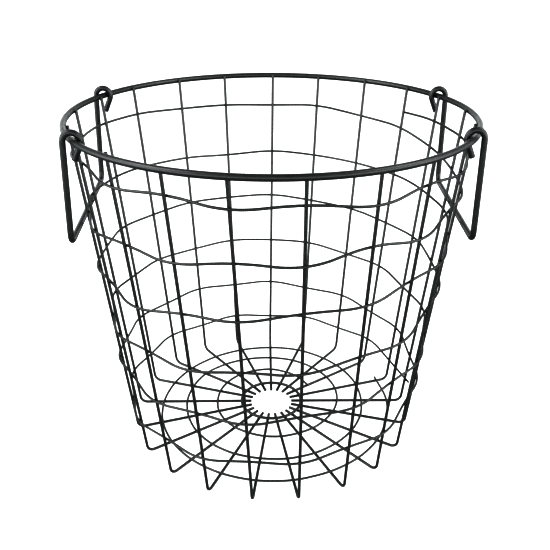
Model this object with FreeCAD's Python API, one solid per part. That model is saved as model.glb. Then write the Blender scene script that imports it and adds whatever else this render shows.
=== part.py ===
"""Round basket of black coated steel wire with two swing handles.

A heavy rim carries 21 bent stave wires. Each stave runs down the wall, turns
through a rounded bend and goes on as a floor spoke that ends near the middle,
under a hub ring. One thin wire is woven round the wall, and one lies on the spokes.
A bail handle hooks over the rim on each side and hangs against the wall.

Millimetres. +Z is up, the origin is on the basket's axis at the surface that it
stands on, and the handles are at -X (left) and +X (right).
"""
import FreeCAD
import Part
import math
import os
from FreeCAD import Vector

# Wire diameters
rim_wire = 4.4
handle_wire = 4.2
stave_wire = 2.3
hub_wire = 2.4
weaver_wire = 1.8

# Rim and hub
rim_radius = 149.3
rim_height = 267.0
hub_radius = 26.5
weld_depth = 0.15

# Staves: stave 0 is at the back, and they are counted clockwise from above
stave_count = 21
tip_above_rim = 0.8
long_stave = 13
long_tip_above_rim = 1.8
corner_radius = 118.7
spoke_rise = 4.6
spoke_end_radius = 18.0
stave_bend = 6.0

# Where each stave stands, in degrees anticlockwise from an even spacing
rim_shifts = [
    -0.5, 0, -0.5, -1, 0.5, -0.5, 0, 0, -0.5, 0, -1, -1.5, -0.5, -0.5, -1, 3, 2, 1, 2, 0, 0,
]
floor_shifts = [
    0.5, 0.5, 0, 0, 0, 0, 1, 1.5, 2, 2.5, 1.5, 1.5, 1.5, 1, 1, 1.5, 1, 0.5, 1, 0.5, 0.5,
]

# Weaving: the gap between crossing wires, and what the side wire's ends add to it.
# High on the wall the side wire also goes up and down as it passes in and out.
weave_gap = 0.05
end_lift = 0.15
tail_past_crossing = 3.0
bend_share = 0.45
zigzag = 1.2
zigzag_crossings = 100

# Side wire: it starts at stave 3 and goes round clockwise. Each pair is a count
# of stave crossings since the start and the wire's height there.
side_first_stave = 3
side_turns = 6
side_heights = [
    (0, 248), (4, 247), (6, 245.5), (8, 247.5), (11, 248.5), (14, 247), (17, 241.5),
    (19, 241), (21, 233.5), (22, 226.5), (24, 217.5), (26, 212.5), (27, 213.5), (28, 209.5),
    (31, 204), (35, 202), (38, 196), (39, 197.5), (42, 192), (43, 190.5), (44, 186.5),
    (47, 176.5), (50, 168.5), (52, 160), (54, 159.5), (57, 155.5), (60, 154.5), (62, 149),
    (65, 144), (68, 130), (73, 119.5), (78, 110.5), (81, 109.5), (84, 102.5), (86, 96.5),
    (89, 89.5), (92, 81), (94, 77.5), (96, 75.5), (98, 68.5), (102, 63), (107, 52),
    (110, 44), (112, 42.5), (116, 35), (120, 29.5), (123, 27), (128, 22.5),
]

# Floor wire: it lies on the spokes, starts at stave 3 beside the hub and goes round
# anticlockwise. Each pair is a count of crossings since the start and the radius there.
floor_first_stave = 3
floor_radii = [
    (0, 42), (1, 45.5), (3, 51), (5, 51.5), (8, 48.5), (12, 48.5), (15, 50.5), (17, 54),
    (20, 63), (23, 71.5), (27, 77.5), (30, 75.5), (34, 75.5), (37, 78), (40, 82), (44, 93),
    (47, 94.5), (51, 98), (57, 100.5), (60, 103.5), (62, 107),
]

# Handles: the places of the two hooks are counted in staves from the back
handle_bend = 6.0
hook_radius = 5.8
hook_offset = 0.6
hook_tail = 11.5
hook_tail_angle = 22.0
handles = {
    "right_handle": {"front": 6.84, "back": 3.83, "lean": 1.0, "drop": 72.3},
    "left_handle": {"front": -7.06, "back": -3.86, "lean": 2.2, "drop": 71.0},
}

step = 360.0 / stave_count
up = Vector(0, 0, 1)
side_crossings = side_heights[-1][0] + 1
floor_crossings = floor_radii[-1][0] + 1


def unit(vector):
    return Vector(vector).normalize()


def polar(radius, angle, height):
    turn = math.radians(angle)
    return Vector(radius * math.cos(turn), radius * math.sin(turn), height)


def even_angle(stave):
    """Direction of a stave's place in an even spacing, in degrees from +X."""
    return 90.0 - stave * step


def between(pairs, count):
    """Value at count on the straight lines that join the pairs."""
    for (first, low), (last, high) in zip(pairs, pairs[1:]):
        if count <= last:
            return low + (high - low) * (count - first) / (last - first)
    return pairs[-1][1]


# ---- Wire bending -----------------------------------------------------------

def bend_at(before, corner, after, bend):
    """First, middle and last point of the arc that rounds a corner.

    With no bend radius given, the arc takes the same share of both runs.
    """
    back = unit(before - corner)
    ahead = unit(after - corner)
    half = back.getAngle(ahead) / 2
    if bend is None:
        shorter = min(before.distanceToPoint(corner), after.distanceToPoint(corner))
        bend = bend_share * shorter * math.tan(half)
    reach = bend / math.tan(half)
    crown = corner + unit(back + ahead) * (bend / math.sin(half) - bend)
    return corner + back * reach, crown, corner + ahead * reach


def bent_path(corners, bend=None):
    """Straight runs between the corners, joined by tangent arcs."""
    edges = []
    start = corners[0]
    for before, corner, after in zip(corners, corners[1:], corners[2:]):
        first, crown, last = bend_at(before, corner, after, bend)
        edges.append(Part.LineSegment(start, first).toShape())
        edges.append(Part.Arc(first, crown, last).toShape())
        start = last
    edges.append(Part.LineSegment(start, corners[-1]).toShape())
    return edges


def corners_through(points):
    """Corners of a wire whose rounded bends pass through the points.

    The wire runs on straight past its first and its last point.
    """
    corners = points
    for attempt in range(8):
        moved = [points[0]]
        for before, corner, after, point in zip(corners, corners[1:], corners[2:], points[1:]):
            crown = bend_at(before, corner, after, None)[1]
            moved.append(point - crown + corner)
        moved.append(points[-1])
        corners = moved
    corners[0] = points[0] + unit(points[0] - corners[1]) * tail_past_crossing
    corners[-1] = points[-1] + unit(points[-1] - corners[-2]) * tail_past_crossing
    return corners


def wire_solid(edges, diameter):
    """A round wire along the edges."""
    path = Part.Wire(edges)
    start = edges[0].valueAt(edges[0].FirstParameter)
    heading = edges[0].tangentAt(edges[0].FirstParameter)
    section = Part.Face(Part.Wire([Part.makeCircle(diameter / 2, start, heading)]))
    solid = path.makePipe(section)
    expected = path.Length * math.pi * diameter ** 2 / 4
    if abs(solid.Volume / expected - 1) > 0.001:
        raise ValueError("a bent wire's volume is not its section times its length")
    return solid


# ---- Staves -----------------------------------------------------------------

# The bends at the foot of the wall touch the ground, and the spokes rise from there to
# the hub.
wall_angle = math.atan2(rim_radius - corner_radius, rim_height)
spoke_angle = math.atan2(spoke_rise, corner_radius - hub_radius)
bend_reach = stave_bend / math.tan((math.pi / 2 + wall_angle - spoke_angle) / 2)
bend_dip = bend_reach * math.sin(spoke_angle) - stave_bend * (1 - math.cos(spoke_angle))
corner_height = stave_wire / 2 - bend_dip
hub_height = corner_height + spoke_rise
weld_offset = ((rim_wire + stave_wire) / 2 - weld_depth) / math.cos(wall_angle)
weave_offset = (stave_wire + weaver_wire) / 2 + weave_gap


def stave_tip(stave):
    """Top end of a stave, inside the rim."""
    stave = stave % stave_count
    above = long_tip_above_rim if stave == long_stave else tip_above_rim
    radius = rim_radius - weld_offset + above * math.tan(wall_angle)
    return polar(radius, even_angle(stave) + rim_shifts[stave], rim_height + above)


def spoke_point(stave, radius):
    """Centre of a stave's floor run at a distance from the basket's axis."""
    height = corner_height + (corner_radius - radius) * math.tan(spoke_angle)
    return polar(radius, even_angle(stave) + floor_shifts[stave % stave_count], height)


def stave_corner(stave):
    """Where the lines of a stave's wall and floor runs meet."""
    return spoke_point(stave, corner_radius)


def wall_point(stave, height):
    """Centre of a stave's wall run at a height."""
    tip = stave_tip(stave)
    corner = stave_corner(stave)
    share = (height - corner.z) / (tip.z - corner.z)
    return corner + (tip - corner) * share


def make_stave(stave):
    corners = [stave_tip(stave), stave_corner(stave), spoke_point(stave, spoke_end_radius)]
    return wire_solid(bent_path(corners, stave_bend), stave_wire)


# ---- Rings ------------------------------------------------------------------

def make_rim():
    return Part.makeTorus(rim_radius, rim_wire / 2, Vector(0, 0, rim_height))


def make_hub():
    height = hub_height + (stave_wire + hub_wire) / 2 - weld_depth
    return Part.makeTorus(hub_radius, hub_wire / 2, Vector(0, 0, height))


# ---- Woven wires ------------------------------------------------------------

def side_crossing(count):
    """Centre of the side wire where it passes a stave, outside and inside by turns."""
    is_end = count in (0, side_crossings - 1)
    side = 1 if count % 2 == 0 else -1
    offset = weave_offset + end_lift if is_end else weave_offset
    wave = zigzag * max(0, 1 - count / zigzag_crossings)
    height = between(side_heights, count) - side * wave
    centre = wall_point(side_first_stave + count, height)
    outward = unit(Vector(centre.x, centre.y, 0))
    return centre + outward * (side * offset / math.cos(wall_angle))


def make_side_turns():
    """The side wire, cut into its turns half way between two staves."""
    corners = corners_through([side_crossing(count) for count in range(side_crossings)])
    turns = []
    start = [corners[0]]
    first = 1
    for turn in range(1, side_turns + 1):
        last = turn * stave_count if turn < side_turns else len(corners)
        piece = start + corners[first:last]
        if turn < side_turns:
            cut = (corners[last - 1] + corners[last]) * 0.5
            piece.append(cut)
            start = [cut]
            first = last
        turns.append(wire_solid(bent_path(piece), weaver_wire))
    return turns


def floor_crossing(count):
    """Centre of the floor wire where it lies on a spoke."""
    centre = spoke_point(floor_first_stave - count, between(floor_radii, count))
    return centre + up * weave_offset / math.cos(spoke_angle)


def make_floor_wire():
    corners = corners_through([floor_crossing(count) for count in range(floor_crossings)])
    return wire_solid(bent_path(corners), weaver_wire)


# ---- Handles ----------------------------------------------------------------

def hook_edges(pivot, out, down):
    """One hook from its tail's end over the rim, and where its leg starts."""
    tail = math.radians(hook_tail_angle)
    centre = pivot + out * hook_offset
    loop_start = centre + (down * math.sin(tail) - out * math.cos(tail)) * hook_radius
    tail_end = loop_start + (down * math.cos(tail) + out * math.sin(tail)) * hook_tail
    leg_start = centre + out * hook_radius
    edges = [
        Part.LineSegment(tail_end, loop_start).toShape(),
        Part.Arc(loop_start, centre - down * hook_radius, leg_start).toShape(),
    ]
    return edges, leg_start


def handle_edges(front, back, lean, drop):
    """A bail bent from one wire, hooked over the rim at two places."""
    front_pivot = polar(rim_radius, even_angle(front), rim_height)
    back_pivot = polar(rim_radius, even_angle(back), rim_height)
    across = unit(back_pivot - front_pivot)
    level = across.cross(up)
    if level.dot(front_pivot) < 0:
        level = level * -1
    lean_turn = math.radians(lean)
    out = level * math.cos(lean_turn) + up * math.sin(lean_turn)
    down = level * math.sin(lean_turn) - up * math.cos(lean_turn)

    front_hook, front_leg = hook_edges(front_pivot, out, down)
    back_hook, back_leg = hook_edges(back_pivot, out, down)
    bail = [front_leg, front_leg + down * drop, back_leg + down * drop, back_leg]
    edges = front_hook + bent_path(bail, handle_bend)
    for edge in reversed(back_hook):
        edges.append(edge)
    return Part.Wire(edges).OrderedEdges


# ---- The whole basket -------------------------------------------------------

def make_nodes():
    nodes = {"rim_ring": make_rim(), "hub_ring": make_hub()}
    for stave in range(stave_count):
        nodes[f"stave_{stave + 1:02d}"] = make_stave(stave)
    for turn, solid in enumerate(make_side_turns(), start=1):
        nodes[f"side_wire_turn_{turn}"] = solid
    nodes["floor_wire"] = make_floor_wire()
    for name, place in handles.items():
        nodes[name] = wire_solid(handle_edges(**place), handle_wire)
    return nodes


os.makedirs("parts", exist_ok=True)
for name, shape in make_nodes().items():
    shape.exportStep(f"parts/{name}.step")
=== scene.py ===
"""Round egg basket of black coated steel wire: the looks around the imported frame.

Every wire is drawn again as a fine tube with rounded cut ends, the welds and the
coating that bridges crossing wires are added, and all of it gets the satin black
coating. Metres. Counts of crossings and the weave's heights are the design's own.
"""

import math

import bmesh
import bpy
from mathutils import Matrix, Vector, noise


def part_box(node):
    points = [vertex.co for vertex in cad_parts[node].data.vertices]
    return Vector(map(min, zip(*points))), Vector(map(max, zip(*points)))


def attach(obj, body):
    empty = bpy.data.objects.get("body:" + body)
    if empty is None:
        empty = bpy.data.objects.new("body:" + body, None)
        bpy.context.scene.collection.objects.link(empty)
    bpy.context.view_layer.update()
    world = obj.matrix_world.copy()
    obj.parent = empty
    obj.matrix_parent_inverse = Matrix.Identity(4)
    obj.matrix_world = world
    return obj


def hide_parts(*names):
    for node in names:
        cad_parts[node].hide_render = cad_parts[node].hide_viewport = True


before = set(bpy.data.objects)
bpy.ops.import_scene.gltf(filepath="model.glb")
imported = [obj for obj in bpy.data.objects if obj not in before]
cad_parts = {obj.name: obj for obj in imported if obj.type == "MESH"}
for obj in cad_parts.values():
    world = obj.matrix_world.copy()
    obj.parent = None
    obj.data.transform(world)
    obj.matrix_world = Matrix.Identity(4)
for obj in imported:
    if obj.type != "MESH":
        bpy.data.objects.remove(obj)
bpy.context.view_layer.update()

MM = 0.001
UP = Vector((0, 0, 1))

# ---- Sizes ------------------------------------------------------------------

rim_low, rim_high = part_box("rim_ring")
hub_low, hub_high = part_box("hub_ring")
rim_wire = rim_high.z - rim_low.z
hub_wire = hub_high.z - hub_low.z
rim_radius = (rim_high.x - rim_low.x - rim_wire) / 2
hub_radius = (hub_high.x - hub_low.x - hub_wire) / 2
rim_height = (rim_high.z + rim_low.z) / 2
hub_ring_height = (hub_high.z + hub_low.z) / 2
stave_wire = 2.3 * MM
weaver_wire = 1.8 * MM
handle_wire = 4.2 * MM
weld_depth = 0.15 * MM

# Staves: stave 0 is at the back, and they are counted clockwise from above
stave_count = 21
step = 360.0 / stave_count
tip_above_rim = 0.8 * MM
long_stave = 13
long_tip_above_rim = 1.8 * MM
corner_radius = 118.7 * MM
spoke_rise = 4.6 * MM
spoke_end_radius = 18.0 * MM
stave_bend = 6.0 * MM
hub_height = hub_ring_height - (stave_wire + hub_wire) / 2 + weld_depth
corner_height = hub_height - spoke_rise

# Where each stave stands, in degrees anticlockwise from an even spacing
rim_shifts = [
    -0.5, 0, -0.5, -1, 0.5, -0.5, 0, 0, -0.5, 0, -1, -1.5, -0.5, -0.5, -1, 3, 2, 1, 2, 0, 0,
]
floor_shifts = [
    0.5, 0.5, 0, 0, 0, 0, 1, 1.5, 2, 2.5, 1.5, 1.5, 1.5, 1, 1, 1.5, 1, 0.5, 1, 0.5, 0.5,
]

# Weaving
weave_offset = (stave_wire + weaver_wire) / 2 + 0.05 * MM
end_lift = 0.15 * MM
tail_past_crossing = 3.0 * MM
bend_share = 0.45
zigzag = 1.2
zigzag_crossings = 100

# Side wire: pairs of a count of crossings since its start at stave 3, and the
# wire's height there in millimetres
side_first_stave = 3
side_heights = [
    (0, 248), (4, 247), (6, 245.5), (8, 247.5), (11, 248.5), (14, 247), (17, 241.5),
    (19, 241), (21, 233.5), (22, 226.5), (24, 217.5), (26, 212.5), (27, 213.5), (28, 209.5),
    (31, 204), (35, 202), (38, 196), (39, 197.5), (42, 192), (43, 190.5), (44, 186.5),
    (47, 176.5), (50, 168.5), (52, 160), (54, 159.5), (57, 155.5), (60, 154.5), (62, 149),
    (65, 144), (68, 130), (73, 119.5), (78, 110.5), (81, 109.5), (84, 102.5), (86, 96.5),
    (89, 89.5), (92, 81), (94, 77.5), (96, 75.5), (98, 68.5), (102, 63), (107, 52),
    (110, 44), (112, 42.5), (116, 35), (120, 29.5), (123, 27), (128, 22.5),
]

# Floor wire: pairs of a count of crossings since its start at stave 3, and the
# wire's radius there in millimetres
floor_first_stave = 3
floor_radii = [
    (0, 42), (1, 45.5), (3, 51), (5, 51.5), (8, 48.5), (12, 48.5), (15, 50.5), (17, 54),
    (20, 63), (23, 71.5), (27, 77.5), (30, 75.5), (34, 75.5), (37, 78), (40, 82), (44, 93),
    (47, 94.5), (51, 98), (57, 100.5), (60, 103.5), (62, 107),
]
side_crossings = side_heights[-1][0] + 1
floor_crossings = floor_radii[-1][0] + 1

# Handles: the places of the two hooks are counted in staves from the back
handle_bend = 6.0 * MM
hook_radius = 5.8 * MM
hook_offset = 0.6 * MM
hook_tail = 11.5 * MM
hook_tail_angle = 22.0
handles = {
    "right_handle": {"front": 6.84, "back": 3.83, "lean": 1.0, "drop": 72.3},
    "left_handle": {"front": -7.06, "back": -3.86, "lean": 2.2, "drop": 71.0},
}

# Cut ends: the coating's rounding and the flat that it leaves, as shares of the
# wire's radius, and how far the flat bulges past the rounding
end_rounding = 0.3
end_flat = 0.35
end_bulge = 1.06

# Beads: half sizes along, across and out from the joint, and their unevenness
rim_weld = (1.55 * MM, 1.25 * MM, 0.55 * MM)
hub_weld = (1.0 * MM, 1.05 * MM, 0.4 * MM)
coating_web = (0.70 * MM, 0.80 * MM, 0.26 * MM)
unevenness = 0.16
uneven_scale = 1.7

# Fineness of the meshes: lengths, degrees of turn, and points around a wire
path_step = 0.6 * MM
longest_run = 12.0 * MM
ring_turn = 2.5
smooth_reach = 1.5 * MM
corner_passes = 8
rim_points = 288
hub_points = 120
rim_sides = 32
hub_sides = 24
stave_sides = 20
weaver_sides = 16
handle_sides = 28


# ---- Paths ------------------------------------------------------------------

def polar(radius, angle, height):
    """Point at a distance from the basket's axis, an angle from +X and a height."""
    turn = math.radians(angle)
    return Vector((radius * math.cos(turn), radius * math.sin(turn), height))


def even_angle(stave):
    """Direction of a stave's place in an even spacing, in degrees from +X."""
    return 90.0 - stave * step


def between(pairs, count):
    """Value at count on the straight lines that join the pairs."""
    for (first, low), (last, high) in zip(pairs, pairs[1:]):
        if count <= last:
            return low + (high - low) * (count - first) / (last - first)
    return pairs[-1][1]


def bend_sizes(before, corner, after, bend):
    """Directions of both runs from a corner, half the angle between them, and the
    length that the arc takes from each run.

    With no bend radius given, the arc takes the same share of both runs.
    """
    back = (before - corner).normalized()
    ahead = (after - corner).normalized()
    half = math.acos(min(1.0, (back + ahead).length / 2))
    shorter = min((before - corner).length, (after - corner).length)
    reach = bend_share * shorter if bend is None else bend / math.tan(half)
    return back, ahead, half, reach


def round_corners(corners, bend=None):
    """Points along straight runs between the corners and the arcs that join them."""
    points = [corners[0]]
    for before, corner, after in zip(corners, corners[1:], corners[2:]):
        back, ahead, half, reach = bend_sizes(before, corner, after, bend)
        inward = (ahead - back * ahead.dot(back)).normalized()
        radius = reach * math.tan(half)
        turn = math.pi - 2 * half
        steps = max(2, math.ceil(turn / math.radians(ring_turn)))
        for k in range(steps + 1):
            swept = turn * k / steps
            along = back * (reach - radius * math.sin(swept))
            points.append(corner + along + inward * (radius * (1 - math.cos(swept))))
    points.append(corners[-1])
    return points


def corners_through(points):
    """Corners of a wire whose rounded bends pass through the points."""
    corners = points
    for attempt in range(corner_passes):
        moved = [points[0]]
        for before, corner, after, point in zip(corners, corners[1:], corners[2:], points[1:]):
            back, ahead, half, reach = bend_sizes(before, corner, after, None)
            depth = reach * math.tan(math.pi / 4 - half / 2)
            moved.append(point - (back + ahead).normalized() * depth)
        moved.append(points[-1])
        corners = moved
    corners[0] = points[0] + (points[0] - corners[1]).normalized() * tail_past_crossing
    corners[-1] = points[-1] + (points[-1] - corners[-2]).normalized() * tail_past_crossing
    return corners


def even_points(points, spacing):
    """Points evenly spaced along a line of points."""
    reached = [0.0]
    for a, b in zip(points, points[1:]):
        reached.append(reached[-1] + (b - a).length)
    count = max(2, round(reached[-1] / spacing))
    even = []
    at = 0
    for k in range(count + 1):
        distance = reached[-1] * k / count
        while at < len(points) - 2 and reached[at + 1] < distance:
            at += 1
        span = max(reached[at + 1] - reached[at], 1e-12)
        even.append(points[at].lerp(points[at + 1], (distance - reached[at]) / span))
    return even


def springy(points, reach):
    """The line with its changes of curvature spread over reach, as in real wire."""
    even = even_points(points, path_step)
    for sweep in range(round((reach / path_step) ** 2)):
        middle = [(a + 2 * b + c) / 4 for a, b, c in zip(even, even[1:], even[2:])]
        even = [even[0]] + middle + [even[-1]]
    return even


def fewer_points(points):
    """The line with points left out where it runs straight."""
    kept = [points[0]]
    heading = (points[1] - points[0]).normalized()
    for point, ahead in zip(points[1:], points[2:]):
        new_heading = (ahead - point).normalized()
        turned = heading.angle(new_heading, 0.0) > math.radians(ring_turn)
        if turned or (point - kept[-1]).length > longest_run:
            kept.append(point)
            heading = new_heading
    kept.append(points[-1])
    return kept


# ---- Meshes -----------------------------------------------------------------

def new_piece(name, mesh, body, nodes, material):
    """A smooth piece in place of CAD nodes, riding on a body."""
    for polygon in mesh.polygons:
        polygon.use_smooth = True
    piece = bpy.data.objects.new(name, mesh)
    bpy.context.scene.collection.objects.link(piece)
    mesh.materials.append(material)
    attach(piece, body)
    if nodes:
        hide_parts(*nodes)
    return piece


def end_rings(radius):
    """Rings of a cut end rounded by its coating, as pairs of advance and radius."""
    edge = end_rounding * radius
    rings = []
    for degrees in (22.5, 45, 67.5, 90):
        turn = math.radians(degrees)
        rings.append((edge * math.sin(turn), radius - edge + edge * math.cos(turn)))
    rings.append((edge * end_bulge, radius * end_flat))
    return rings


def wire_mesh(name, points, diameter, sides, closed=False):
    """A round wire along the points, with rounded ends unless it is closed."""
    radius = diameter / 2
    count = len(points)
    mesh = bpy.data.meshes.new(name)
    bm = bmesh.new()
    headings = []
    for k in range(count):
        before = points[k - 1] if k or closed else points[0]
        after = points[(k + 1) % count] if k < count - 1 or closed else points[-1]
        headings.append((after - before).normalized())
    normal = headings[0].orthogonal().normalized()
    if closed:
        normal = UP
    stations = []
    for k in range(count):
        if k:
            normal = headings[k - 1].rotation_difference(headings[k]) @ normal
        stations.append((points[k], headings[k], normal, radius))
    if not closed:
        edge = end_rings(radius)
        depth = edge[-1][0]
        stations[0] = (points[0] + headings[0] * depth, *stations[0][1:])
        stations[-1] = (points[-1] - headings[-1] * depth, *stations[-1][1:])
        first, last = stations[0], stations[-1]
        for advance, ring_radius in edge:
            stations.insert(0, (first[0] - first[1] * advance, first[1], first[2], ring_radius))
            stations.append((last[0] + last[1] * advance, last[1], last[2], ring_radius))
    rings = []
    for place, heading, normal, ring_radius in stations:
        side = heading.cross(normal)
        ring = []
        for k in range(sides):
            turn = math.tau * k / sides
            offset = normal * math.cos(turn) + side * math.sin(turn)
            ring.append(bm.verts.new(place + offset * ring_radius))
        rings.append(ring)
    pairs = list(zip(rings, rings[1:]))
    if closed:
        pairs.append((rings[-1], rings[0]))
    for ring, following in pairs:
        for k in range(sides):
            j = (k + 1) % sides
            bm.faces.new((ring[k], ring[j], following[j], following[k]))
    if not closed:
        bm.faces.new(reversed(rings[0]))
        bm.faces.new(rings[-1])
    bm.normal_update()
    bm.to_mesh(mesh)
    bm.free()
    return mesh


def add_bead(bm, centre, along, across, sizes, seed):
    """A small uneven bead: half sizes along, across and out from a joint."""
    along = along.normalized()
    out = along.cross(across).normalized()
    across = out.cross(along)
    made = bmesh.ops.create_uvsphere(bm, u_segments=12, v_segments=8, radius=1.0)
    for vert in made["verts"]:
        spot = vert.co * uneven_scale + Vector((seed * 3.1, seed, 0))
        uneven = 1 + unevenness * noise.noise(spot)
        local = vert.co * uneven
        offset = along * (local.x * sizes[0]) + across * (local.y * sizes[1])
        vert.co = centre + offset + out * (local.z * sizes[2])


def bead_mesh(name, beads):
    """One mesh of many beads."""
    mesh = bpy.data.meshes.new(name)
    bm = bmesh.new()
    for seed, (centre, along, across, sizes) in enumerate(beads):
        add_bead(bm, centre, along, across, sizes, seed)
    bm.normal_update()
    bm.to_mesh(mesh)
    bm.free()
    return mesh


# ---- Coating ----------------------------------------------------------------

def coating(name, shade, gloss, grain):
    """Satin black coating with a fine orange peel.

    The gloss is its mean roughness and the grain is the peel's size.
    """
    material = bpy.data.materials.new(name)
    material.use_nodes = True
    nodes = material.node_tree.nodes
    links = material.node_tree.links
    shader = nodes["Principled BSDF"]
    shader.inputs["Specular IOR Level"].default_value = 0.5
    shader.inputs["Coat Weight"].default_value = 0.15
    shader.inputs["Coat Roughness"].default_value = 0.22
    place = nodes.new("ShaderNodeTexCoord")

    cloud = nodes.new("ShaderNodeTexNoise")
    cloud.inputs["Scale"].default_value = 0.12 / grain
    cloud.inputs["Detail"].default_value = 4.0
    links.new(place.outputs["Object"], cloud.inputs["Vector"])

    tone = nodes.new("ShaderNodeValToRGB")
    tone.color_ramp.elements[0].position = 0.3
    tone.color_ramp.elements[1].position = 0.75
    tone.color_ramp.elements[0].color = (*[0.8 * c for c in shade], 1)
    tone.color_ramp.elements[1].color = (*[1.25 * c for c in shade], 1)
    links.new(cloud.outputs["Fac"], tone.inputs["Fac"])
    links.new(tone.outputs["Color"], shader.inputs["Base Color"])

    rough = nodes.new("ShaderNodeMapRange")
    rough.inputs["From Min"].default_value = 0.3
    rough.inputs["From Max"].default_value = 0.7
    rough.inputs["To Min"].default_value = gloss - 0.05
    rough.inputs["To Max"].default_value = gloss + 0.06
    links.new(cloud.outputs["Fac"], rough.inputs["Value"])
    links.new(rough.outputs["Result"], shader.inputs["Roughness"])

    peel = nodes.new("ShaderNodeTexNoise")
    peel.inputs["Scale"].default_value = 1.0 / grain
    peel.inputs["Detail"].default_value = 2.0
    peel.inputs["Roughness"].default_value = 0.45
    links.new(place.outputs["Object"], peel.inputs["Vector"])
    bump = nodes.new("ShaderNodeBump")
    bump.inputs["Strength"].default_value = 0.25
    bump.inputs["Distance"].default_value = 0.06 * MM
    links.new(peel.outputs["Fac"], bump.inputs["Height"])
    links.new(bump.outputs["Normal"], shader.inputs["Normal"])
    return material


frame_coating = coating("frame_coating", (0.0115, 0.0128, 0.0130), 0.42, 0.55 * MM)
woven_coating = coating("woven_coating", (0.0120, 0.0132, 0.0134), 0.40, 0.50 * MM)
handle_coating = coating("handle_coating", (0.0110, 0.0122, 0.0125), 0.40, 0.60 * MM)


# ---- Rim, staves and hub ----------------------------------------------------

wall_angle = math.atan2(rim_radius - corner_radius, rim_height)
spoke_angle = math.atan2(spoke_rise, corner_radius - hub_radius)
weld_offset = ((rim_wire + stave_wire) / 2 - weld_depth) / math.cos(wall_angle)


def circle_points(radius, height, count):
    """Points evenly spaced around a level circle."""
    return [polar(radius, 360.0 * k / count, height) for k in range(count)]


def make_rim():
    points = circle_points(rim_radius, rim_height, rim_points)
    mesh = wire_mesh("rim", points, rim_wire, rim_sides, closed=True)
    return new_piece("rim", mesh, "basket", ["rim_ring"], frame_coating)


def make_hub():
    points = circle_points(hub_radius, hub_ring_height, hub_points)
    mesh = wire_mesh("hub", points, hub_wire, hub_sides, closed=True)
    return new_piece("hub", mesh, "basket", ["hub_ring"], frame_coating)


def stave_tip(stave):
    """Top end of a stave, inside the rim."""
    stave = stave % stave_count
    above = long_tip_above_rim if stave == long_stave else tip_above_rim
    radius = rim_radius - weld_offset + above * math.tan(wall_angle)
    return polar(radius, even_angle(stave) + rim_shifts[stave], rim_height + above)


def spoke_point(stave, radius):
    """Centre of a stave's floor run at a distance from the basket's axis."""
    height = corner_height + (corner_radius - radius) * math.tan(spoke_angle)
    return polar(radius, even_angle(stave) + floor_shifts[stave % stave_count], height)


def stave_corner(stave):
    """Where the lines of a stave's wall and floor runs meet."""
    return spoke_point(stave, corner_radius)


def wall_point(stave, height):
    """Centre of a stave's wall run at a height."""
    tip = stave_tip(stave)
    corner = stave_corner(stave)
    share = (height - corner.z) / (tip.z - corner.z)
    return corner + (tip - corner) * share


def make_stave(stave):
    corners = [stave_tip(stave), stave_corner(stave), spoke_point(stave, spoke_end_radius)]
    points = fewer_points(round_corners(corners, stave_bend))
    name = f"wire_stave_{stave + 1:02d}"
    mesh = wire_mesh(name, points, stave_wire, stave_sides)
    nodes = [f"stave_{stave + 1:02d}"]
    return new_piece(name, mesh, "basket", nodes, frame_coating)


def make_rim_welds():
    """The squeezed-out metal where each stave is welded to the rim."""
    beads = []
    for stave in range(stave_count):
        angle = even_angle(stave) + rim_shifts[stave]
        contact = polar(rim_radius - rim_wire / 2, angle, rim_height)
        along = stave_tip(stave) - stave_corner(stave)
        tangent = UP.cross(Vector((contact.x, contact.y, 0)))
        beads.append((contact, along, tangent, rim_weld))
    mesh = bead_mesh("rim_welds", beads)
    return new_piece("rim_welds", mesh, "basket", [], frame_coating)


def make_hub_welds():
    """The squeezed-out metal where the hub ring is welded to each spoke."""
    beads = []
    for stave in range(stave_count):
        spoke = spoke_point(stave, hub_radius)
        contact = spoke + UP * (stave_wire / 2)
        radial = Vector((contact.x, contact.y, 0))
        beads.append((contact, radial, UP.cross(radial), hub_weld))
    mesh = bead_mesh("hub_welds", beads)
    return new_piece("hub_welds", mesh, "basket", [], frame_coating)


# ---- Woven wires ------------------------------------------------------------

def side_crossing(count):
    """Centre of the side wire and of the stave where they cross."""
    is_end = count in (0, side_crossings - 1)
    side = 1 if count % 2 == 0 else -1
    offset = weave_offset + end_lift if is_end else weave_offset
    wave = zigzag * max(0, 1 - count / zigzag_crossings)
    height = between(side_heights, count) - side * wave
    centre = wall_point(side_first_stave + count, height * MM)
    outward = Vector((centre.x, centre.y, 0)).normalized()
    return centre + outward * (side * offset / math.cos(wall_angle)), centre


def floor_crossing(count):
    """Centre of the floor wire and of the spoke that it lies on."""
    centre = spoke_point(floor_first_stave - count, between(floor_radii, count) * MM)
    return centre + UP * (weave_offset / math.cos(spoke_angle)), centre


def woven_wire(name, crossings, nodes):
    """One thin wire bent through all of its crossings."""
    corners = corners_through([wire for wire, stave in crossings])
    points = fewer_points(springy(round_corners(corners), smooth_reach))
    mesh = wire_mesh(name, points, weaver_wire, weaver_sides)
    return new_piece(name, mesh, "basket", nodes, woven_coating)


def make_webs(name, crossings):
    """The coating that bridges a woven wire and the stave that it presses on."""
    beads = []
    before = [crossings[0]] + crossings[:-1]
    after = crossings[1:] + [crossings[-1]]
    for (wire, stave), (wire_a, stave_a), (wire_b, stave_b) in zip(crossings, before, after):
        contact = stave + (wire - stave) * (stave_wire / (stave_wire + weaver_wire))
        across = wire_b - wire_a
        along = across.cross(wire - stave)
        beads.append((contact, along, across, coating_web))
    mesh = bead_mesh(name, beads)
    return new_piece(name, mesh, "basket", [], woven_coating)


# ---- Handles ----------------------------------------------------------------

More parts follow.
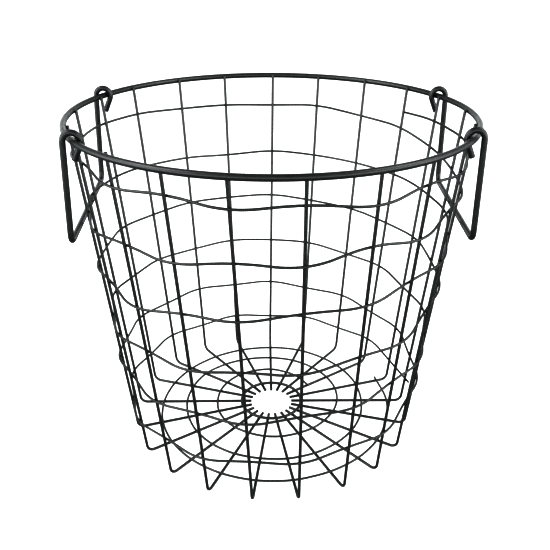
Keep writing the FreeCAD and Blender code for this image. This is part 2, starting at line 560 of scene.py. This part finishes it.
def hook_points(pivot, out, down):
    """One hook from its tail's end over the rim to where its leg starts."""
    tail = math.radians(hook_tail_angle)
    centre = pivot + out * hook_offset
    loop_start = centre + (down * math.sin(tail) - out * math.cos(tail)) * hook_radius
    points = [loop_start + (down * math.cos(tail) + out * math.sin(tail)) * hook_tail]
    sweep = math.pi + tail
    steps = math.ceil(sweep / math.radians(ring_turn))
    for k in range(steps + 1):
        turn = math.pi + tail - sweep * k / steps
        points.append(centre + (out * math.cos(turn) - down * math.sin(turn)) * hook_radius)
    return points


def make_handle(name, front, back, lean, drop):
    """A bail bent from one wire, hooked over the rim at two places."""
    front_pivot = polar(rim_radius, even_angle(front), rim_height)
    back_pivot = polar(rim_radius, even_angle(back), rim_height)
    across = (back_pivot - front_pivot).normalized()
    level = across.cross(UP)
    if level.dot(front_pivot) < 0:
        level = -level
    lean_turn = math.radians(lean)
    out = level * math.cos(lean_turn) + UP * math.sin(lean_turn)
    down = level * math.sin(lean_turn) - UP * math.cos(lean_turn)

    front_hook = hook_points(front_pivot, out, down)
    back_hook = hook_points(back_pivot, out, down)
    front_leg = front_hook.pop()
    back_leg = back_hook.pop()
    reach = down * drop * MM
    bail = [front_leg, front_leg + reach, back_leg + reach, back_leg]
    points = front_hook + round_corners(bail, handle_bend) + back_hook[::-1]
    points = fewer_points(springy(points, smooth_reach))
    mesh = wire_mesh(name + "_bail", points, handle_wire, handle_sides)
    return new_piece(name + "_bail", mesh, name, [name], handle_coating)


# ---- Studio -----------------------------------------------------------------

# The bright paper: its level by the height of a direction and by how far back it
# points, both as sines, and the strengths of the surround and of the paper
paper_heights = [(-0.22, 0.0), (-0.1, 1.0), (0.2, 1.0), (0.32, 0.35), (0.6, 0.0)]
paper_around = [(-1.0, 0.55), (-0.87, 0.6), (-0.5, 1.0), (0.0, 0.8), (0.4, 0.1), (1.0, 0.25)]
dim_level = 0.7
paper_level = 10.5
floor_reach = 14.0

# The camera: its place, its lens in millimetres, and its turns in degrees. The
# tilt is down from level
camera_place = (-0.00132, -0.51867, 0.39056)
camera_lens = 45.99
camera_tilt = 26.36
camera_roll = 0.24
camera_yaw = -0.46

# Under 1, wires that are about as thin as a pixel fade softly into the white
view_gamma = 0.5


def make_floor():
    """A plain pale floor that hardly takes a shadow."""
    mesh = bpy.data.meshes.new("floor")
    bm = bmesh.new()
    bmesh.ops.create_circle(bm, cap_ends=True, segments=64, radius=floor_reach)
    bm.to_mesh(mesh)
    bm.free()
    floor = bpy.data.objects.new("floor", mesh)
    bpy.context.scene.collection.objects.link(floor)
    material = bpy.data.materials.new("pale_floor")
    material.use_nodes = True
    shader = material.node_tree.nodes["Principled BSDF"]
    shader.inputs["Base Color"].default_value = (0.3, 0.3, 0.3, 1)
    shader.inputs["Roughness"].default_value = 0.9
    shader.inputs["Specular IOR Level"].default_value = 0.1
    shader.inputs["Emission Color"].default_value = (1, 1, 1, 1)
    shader.inputs["Emission Strength"].default_value = 1.0
    mesh.materials.append(material)
    floor.visible_glossy = False
    floor.visible_diffuse = False
    floor.visible_shadow = False


def make_light(name, place, size, power):
    """A soft box that faces the basket."""
    data = bpy.data.lights.new(name, "AREA")
    data.shape = "RECTANGLE"
    data.size, data.size_y = size
    data.energy = power
    light = bpy.data.objects.new(name, data)
    bpy.context.scene.collection.objects.link(light)
    light.location = place
    aim = Vector((0, 0, 0.15)) - light.location
    light.rotation_mode = "QUATERNION"
    light.rotation_quaternion = aim.to_track_quat("-Z", "Y")


def ramp(tree, value, stops):
    """A curve through stops, as pairs of a place from -1 to 1 and a level."""
    place = tree.nodes.new("ShaderNodeMapRange")
    place.inputs["From Min"].default_value = -1.0
    tree.links.new(value, place.inputs["Value"])
    curve = tree.nodes.new("ShaderNodeValToRGB")
    elements = curve.color_ramp.elements
    while len(elements) < len(stops):
        elements.new(0.5)
    for element, (at, level) in zip(elements, stops):
        element.position = (at + 1) / 2
        element.color = (level, level, level, 1)
    tree.links.new(place.outputs["Result"], curve.inputs["Fac"])
    return curve.outputs["Color"]


def make_world():
    """White to look at. As light it is a dim surround with a low bright wall of paper
    about the front and the sides.
    """
    world = bpy.data.worlds.new("studio")
    bpy.context.scene.world = world
    world.use_nodes = True
    tree = world.node_tree
    links = tree.links
    direction = tree.nodes.new("ShaderNodeTexCoord")
    parts = tree.nodes.new("ShaderNodeSeparateXYZ")
    links.new(direction.outputs["Generated"], parts.inputs["Vector"])
    height = ramp(tree, parts.outputs["Z"], paper_heights)
    around = ramp(tree, parts.outputs["Y"], paper_around)
    paper = tree.nodes.new("ShaderNodeMath")
    paper.operation = "MULTIPLY"
    links.new(height, paper.inputs[0])
    links.new(around, paper.inputs[1])
    level = tree.nodes.new("ShaderNodeMapRange")
    level.inputs["To Min"].default_value = dim_level
    level.inputs["To Max"].default_value = paper_level
    links.new(paper.outputs["Value"], level.inputs["Value"])
    light = tree.nodes["Background"]
    light.inputs["Color"].default_value = (0.97, 1.0, 1.0, 1)
    links.new(level.outputs["Result"], light.inputs["Strength"])

    white = tree.nodes.new("ShaderNodeBackground")
    white.inputs["Color"].default_value = (1, 1, 1, 1)
    rays = tree.nodes.new("ShaderNodeLightPath")
    mix = tree.nodes.new("ShaderNodeMixShader")
    links.new(rays.outputs["Is Camera Ray"], mix.inputs["Fac"])
    links.new(light.outputs["Background"], mix.inputs[1])
    links.new(white.outputs["Background"], mix.inputs[2])
    links.new(mix.outputs["Shader"], tree.nodes["World Output"].inputs["Surface"])


def make_camera():
    """In front of the basket and above it, at the height of a standing table shot."""
    data = bpy.data.cameras.new("camera")
    data.sensor_width = 36.0
    data.lens = camera_lens
    camera = bpy.data.objects.new("camera", data)
    bpy.context.scene.collection.objects.link(camera)
    pitch = Matrix.Rotation(math.radians(90 - camera_tilt), 4, "X")
    roll = Matrix.Rotation(math.radians(camera_roll), 4, "Z")
    yaw = Matrix.Rotation(math.radians(camera_yaw), 4, "Z")
    place = Matrix.Translation(camera_place)
    camera.matrix_world = place @ yaw @ pitch @ roll
    bpy.context.scene.camera = camera


# ---- All of it --------------------------------------------------------------

bpy.context.scene.view_settings.view_transform = "Standard"
bpy.context.scene.view_settings.gamma = view_gamma
make_rim()
make_hub()
for stave in range(stave_count):
    make_stave(stave)
make_rim_welds()
make_hub_welds()

side_places = [side_crossing(count) for count in range(side_crossings)]
floor_places = [floor_crossing(count) for count in range(floor_crossings)]
side_nodes = [f"side_wire_turn_{turn}" for turn in range(1, 7)]
woven_wire("woven_side_wire", side_places, side_nodes)
woven_wire("woven_floor_wire", floor_places, ["floor_wire"])
make_webs("side_coating_webs", side_places)
make_webs("floor_coating_webs", floor_places)

for name, place in handles.items():
    make_handle(name, **place)

make_floor()
make_world()
make_light("left_softbox", (-1.0, -0.25, 1.2), (0.8, 0.8), 24.0)
make_light("right_softbox", (1.0, -0.1, 1.2), (0.7, 0.7), 16.0)
make_camera()
